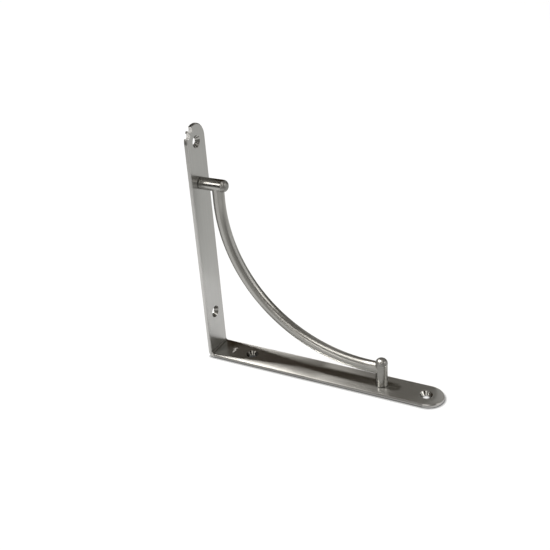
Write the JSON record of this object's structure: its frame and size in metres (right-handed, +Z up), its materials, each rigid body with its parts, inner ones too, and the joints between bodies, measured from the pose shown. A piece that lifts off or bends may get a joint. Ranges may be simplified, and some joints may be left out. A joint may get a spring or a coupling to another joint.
{
  "type": "shelf bracket",
  "caption": "Right-angle shelf bracket: bent flat strip with countersunk screw holes, domed posts and a curved round brace rod between them, in brushed nickel.",
  "frame": {"origin": "middle of the footprint, on the shelf leg's outer face, mid-width of the strip", "axes": "+Z up the wall leg, +X out along the shelf leg from the wall, +Y across the strip"},
  "size_m": [0.2, 0.0254, 0.2],
  "materials": {
    "strip": "nickel plated, brushed lengthwise",
    "posts": "nickel plated, satin",
    "rod": "nickel plated, satin"
  },
  "bodies": {
    "root": {"bent_strip": "strip", "wall_post": "posts", "shelf_post": "posts", "curved_rod": "rod"}
  },
  "joints": []
}
